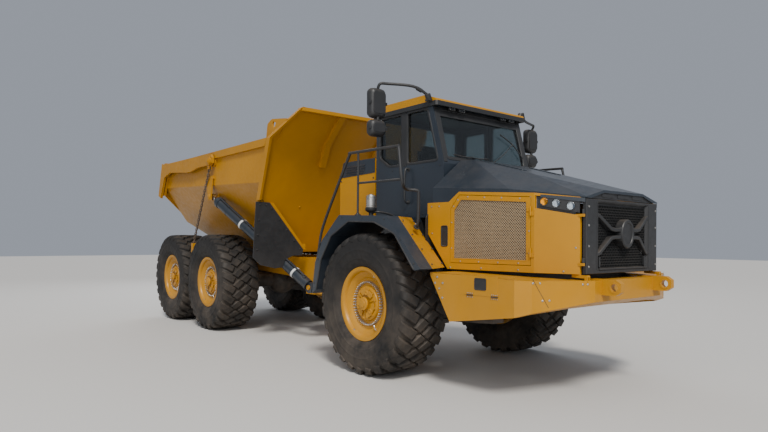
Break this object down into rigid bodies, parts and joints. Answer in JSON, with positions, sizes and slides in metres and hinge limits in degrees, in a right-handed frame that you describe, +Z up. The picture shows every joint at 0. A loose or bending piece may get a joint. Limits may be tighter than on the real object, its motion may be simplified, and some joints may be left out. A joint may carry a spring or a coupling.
{
  "type": "articulated dump truck",
  "caption": "Articulated off-road dump truck: tractor with cab and tilting hood, pivot-steered rear frame on tandem axles, tipping bed with tailgate.",
  "frame": {"origin": "middle of the truck's outline on the ground", "axes": "+X forward, +Y to the driver's left, +Z up"},
  "size_m": [10.955, 3.58, 3.9],
  "materials": {
    "yellow_paint": "gloss",
    "slate_paint": "satin",
    "black_paint": "satin",
    "black_plastic": "matte",
    "rubber": "matte",
    "glass": "gloss",
    "cast": "matte",
    "rod_steel": "satin",
    "screen": "matte",
    "tyre": "matte"
  },
  "bodies": {
    "front_frame": {"front_chassis": "black_paint", "front_crossmembers": "black_paint", "hitch_jaws": "black_paint", "cab_mounts": "black_paint", "bumper_wings": "yellow_paint", "front_axle": "black_paint", "front_suspension": "black_paint", "bumper": "yellow_paint", "engine_block": "cast", "fenders": "slate_paint", "fender_strips": "yellow_paint", "cab_shell": "slate_paint", "cab_roof": "yellow_paint", "cab_glass": "glass", "cab_interior": "black_plastic", "mirrors": "black_plastic", "handrails": "black_paint", "rear_box": "yellow_paint"},
    "cab_door": {"cab_door": "slate_paint", "cab_door_glass": "glass"},
    "hood": {"hood_shell": "slate_paint", "hood_sides": "yellow_paint", "headlamps": "black_plastic"},
    "grille": {"grille": "black_paint"},
    "screen_r": {"screen_door_r": "screen"},
    "screen_l": {"screen_door_l": "screen"},
    "yoke": {"hitch_yoke": "yellow_paint"},
    "steer_barrel_r": {"steer_barrel_r": "slate_paint"},
    "steer_barrel_l": {"steer_barrel_l": "slate_paint"},
    "steer_rod_r": {"steer_rod_r": "rod_steel"},
    "steer_rod_l": {"steer_rod_l": "rod_steel"},
    "rear_frame": {"rear_chassis": "yellow_paint", "middle_axle": "black_paint", "rear_axle": "black_paint", "walking_beams": "black_paint", "driveshaft": "cast"},
    "hoist_barrel_r": {"hoist_barrel_r": "slate_paint"},
    "hoist_barrel_l": {"hoist_barrel_l": "slate_paint"},
    "hoist_stage_r": {"hoist_stage_r": "rod_steel"},
    "hoist_stage_l": {"hoist_stage_l": "rod_steel"},
    "hoist_rod_r": {"hoist_rod_r": "rod_steel"},
    "hoist_rod_l": {"hoist_rod_l": "rod_steel"},
    "bed": {"dump_body": "yellow_paint", "headboard": "yellow_paint", "mud_flaps": "rubber"},
    "tailgate": {"tailgate": "yellow_paint"},
    "chains": {"tailgate_chains": "rod_steel"},
    "wheel_fr": {"tyre_fr": "tyre", "rim_fr": "yellow_paint"},
    "wheel_fl": {"tyre_fl": "tyre", "rim_fl": "yellow_paint"},
    "wheel_mr": {"tyre_mr": "tyre", "rim_mr": "yellow_paint"},
    "wheel_ml": {"tyre_ml": "tyre", "rim_ml": "yellow_paint"},
    "wheel_rr": {"tyre_rr": "tyre", "rim_rr": "yellow_paint"},
    "wheel_rl": {"tyre_rl": "tyre", "rim_rl": "yellow_paint"}
  },
  "joints": [
    {"name": "steer", "type": "hinge", "parent": "front_frame", "child": "yoke", "pos_m": [0.7175, 0, 0.95], "axis": [0, 0, 1], "range_deg": [-45, 45]},
    {"name": "frame_roll", "type": "hinge", "parent": "yoke", "child": "rear_frame", "pos_m": [0.1675, 0, 0.95], "axis": [1, 0, 0], "range_deg": [-20, 20]},
    {"name": "dump", "type": "hinge", "parent": "rear_frame", "child": "bed", "pos_m": [-4.8325, 0, 1.68], "axis": [0, -1, 0], "range_deg": [0, 70]},
    {"name": "tailgate_lift", "type": "hinge", "parent": "bed", "child": "tailgate", "pos_m": [-2.2825, 0, 3.27], "axis": [0, 1, 0], "range_deg": [0, 66]},
    {"name": "chain_swing", "type": "hinge", "parent": "tailgate", "child": "chains", "pos_m": [-2.2925, 0, 3.15], "axis": [0, 1, 0], "range_deg": [-43, 0]},
    {"name": "hoist_swing_r", "type": "hinge", "parent": "rear_frame", "child": "hoist_barrel_r", "pos_m": [0.0175, -0.9, 0.955], "axis": [-0.558, 0.0136, -0.8297], "range_deg": [0, 6.63]},
    {"name": "hoist_stage_r", "type": "slide", "parent": "hoist_barrel_r", "child": "hoist_stage_r", "axis": [-0.8093, -0.23, 0.5405], "range_m": [0, 1.452]},
    {"name": "hoist_stroke_r", "type": "slide", "parent": "hoist_stage_r", "child": "hoist_rod_r", "axis": [-0.8093, -0.23, 0.5405], "range_m": [0, 1.452]},
    {"name": "steer_swing_r", "type": "hinge", "parent": "front_frame", "child": "steer_barrel_r", "pos_m": [1.6175, -0.25, 0.95], "axis": [0, 0, 1], "range_deg": [-15, 15]},
    {"name": "steer_stroke_r", "type": "slide", "parent": "steer_barrel_r", "child": "steer_rod_r", "axis": [-0.9898, -0.1426, 0], "range_m": [-0.36, 0.36]},
    {"name": "hoist_swing_l", "type": "hinge", "parent": "rear_frame", "child": "hoist_barrel_l", "pos_m": [0.0175, 0.9, 0.955], "axis": [0.558, 0.0136, 0.8297], "range_deg": [0, 6.63]},
    {"name": "hoist_stage_l", "type": "slide", "parent": "hoist_barrel_l", "child": "hoist_stage_l", "axis": [-0.8093, 0.23, 0.5405], "range_m": [0, 1.452]},
    {"name": "hoist_stroke_l", "type": "slide", "parent": "hoist_stage_l", "child": "hoist_rod_l", "axis": [-0.8093, 0.23, 0.5405], "range_m": [0, 1.452]},
    {"name": "steer_swing_l", "type": "hinge", "parent": "front_frame", "child": "steer_barrel_l", "pos_m": [1.6175, 0.25, 0.95], "axis": [0, 0, 1], "range_deg": [-15, 15]},
    {"name": "steer_stroke_l", "type": "slide", "parent": "steer_barrel_l", "child": "steer_rod_l", "axis": [-0.9898, 0.1426, 0], "range_m": [-0.36, 0.36]},
    {"name": "cab_door_swing", "type": "hinge", "parent": "front_frame", "child": "cab_door", "pos_m": [1.8275, 0.92, 2.8], "axis": [0, 0, 1], "range_deg": [0, 90]},
    {"name": "hood_tilt", "type": "hinge", "parent": "front_frame", "child": "hood", "pos_m": [5.2075, 0, 1.395], "axis": [0, 1, 0], "range_deg": [0, 60]},
    {"name": "screen_r_swing", "type": "hinge", "parent": "hood", "child": "screen_r", "pos_m": [4.629, -0.9782, 1.86], "axis": [0, 0, -1], "range_deg": [-100, 0]},
    {"name": "screen_l_swing", "type": "hinge", "parent": "hood", "child": "screen_l", "pos_m": [4.629, 0.9782, 1.86], "axis": [0, 0, 1], "range_deg": [-100, 0]},
    {"name": "grille_swing", "type": "hinge", "parent": "hood", "child": "grille", "pos_m": [5.1625, -0.786, 1.82], "axis": [0, 0, 1], "range_deg": [-95, 0]},
    {"name": "wheel_fr_spin", "type": "hinge", "parent": "front_frame", "child": "wheel_fr", "pos_m": [2.4675, -1.345, 0.935], "axis": [0, 1, 0], "continuous": true},
    {"name": "wheel_fl_spin", "type": "hinge", "parent": "front_frame", "child": "wheel_fl", "pos_m": [2.4675, 1.345, 0.935], "axis": [0, 1, 0], "continuous": true},
    {"name": "wheel_mr_spin", "type": "hinge", "parent": "rear_frame", "child": "wheel_mr", "pos_m": [-2.5925, -1.345, 0.935], "axis": [0, 1, 0], "continuous": true},
    {"name": "wheel_ml_spin", "type": "hinge", "parent": "rear_frame", "child": "wheel_ml", "pos_m": [-2.5925, 1.345, 0.935], "axis": [0, 1, 0], "continuous": true},
    {"name": "wheel_rr_spin", "type": "hinge", "parent": "rear_frame", "child": "wheel_rr", "pos_m": [-4.5425, -1.345, 0.935], "axis": [0, 1, 0], "continuous": true},
    {"name": "wheel_rl_spin", "type": "hinge", "parent": "rear_frame", "child": "wheel_rl", "pos_m": [-4.5425, 1.345, 0.935], "axis": [0, 1, 0], "continuous": true}
  ],
  "couplings": [
    {"joint": "tailgate_lift", "follows": "dump", "ratio": 0.9},
    {"joint": "chain_swing", "follows": "dump", "ratio": -0.6},
    {"joint": "hoist_swing_r", "follows": "dump", "ratio": 0.09325},
    {"joint": "hoist_stage_r", "follows": "dump", "m_per_rad": 1.1845},
    {"joint": "hoist_stroke_r", "follows": "dump", "m_per_rad": 1.1845},
    {"joint": "steer_swing_r", "follows": "steer", "ratio": 0.2576},
    {"joint": "steer_stroke_r", "follows": "steer", "m_per_rad": -0.36},
    {"joint": "hoist_swing_l", "follows": "dump", "ratio": 0.09325},
    {"joint": "hoist_stage_l", "follows": "dump", "m_per_rad": 1.1845},
    {"joint": "hoist_stroke_l", "follows": "dump", "m_per_rad": 1.1845},
    {"joint": "steer_swing_l", "follows": "steer", "ratio": 0.2576},
    {"joint": "steer_stroke_l", "follows": "steer", "m_per_rad": 0.36}
  ]
}
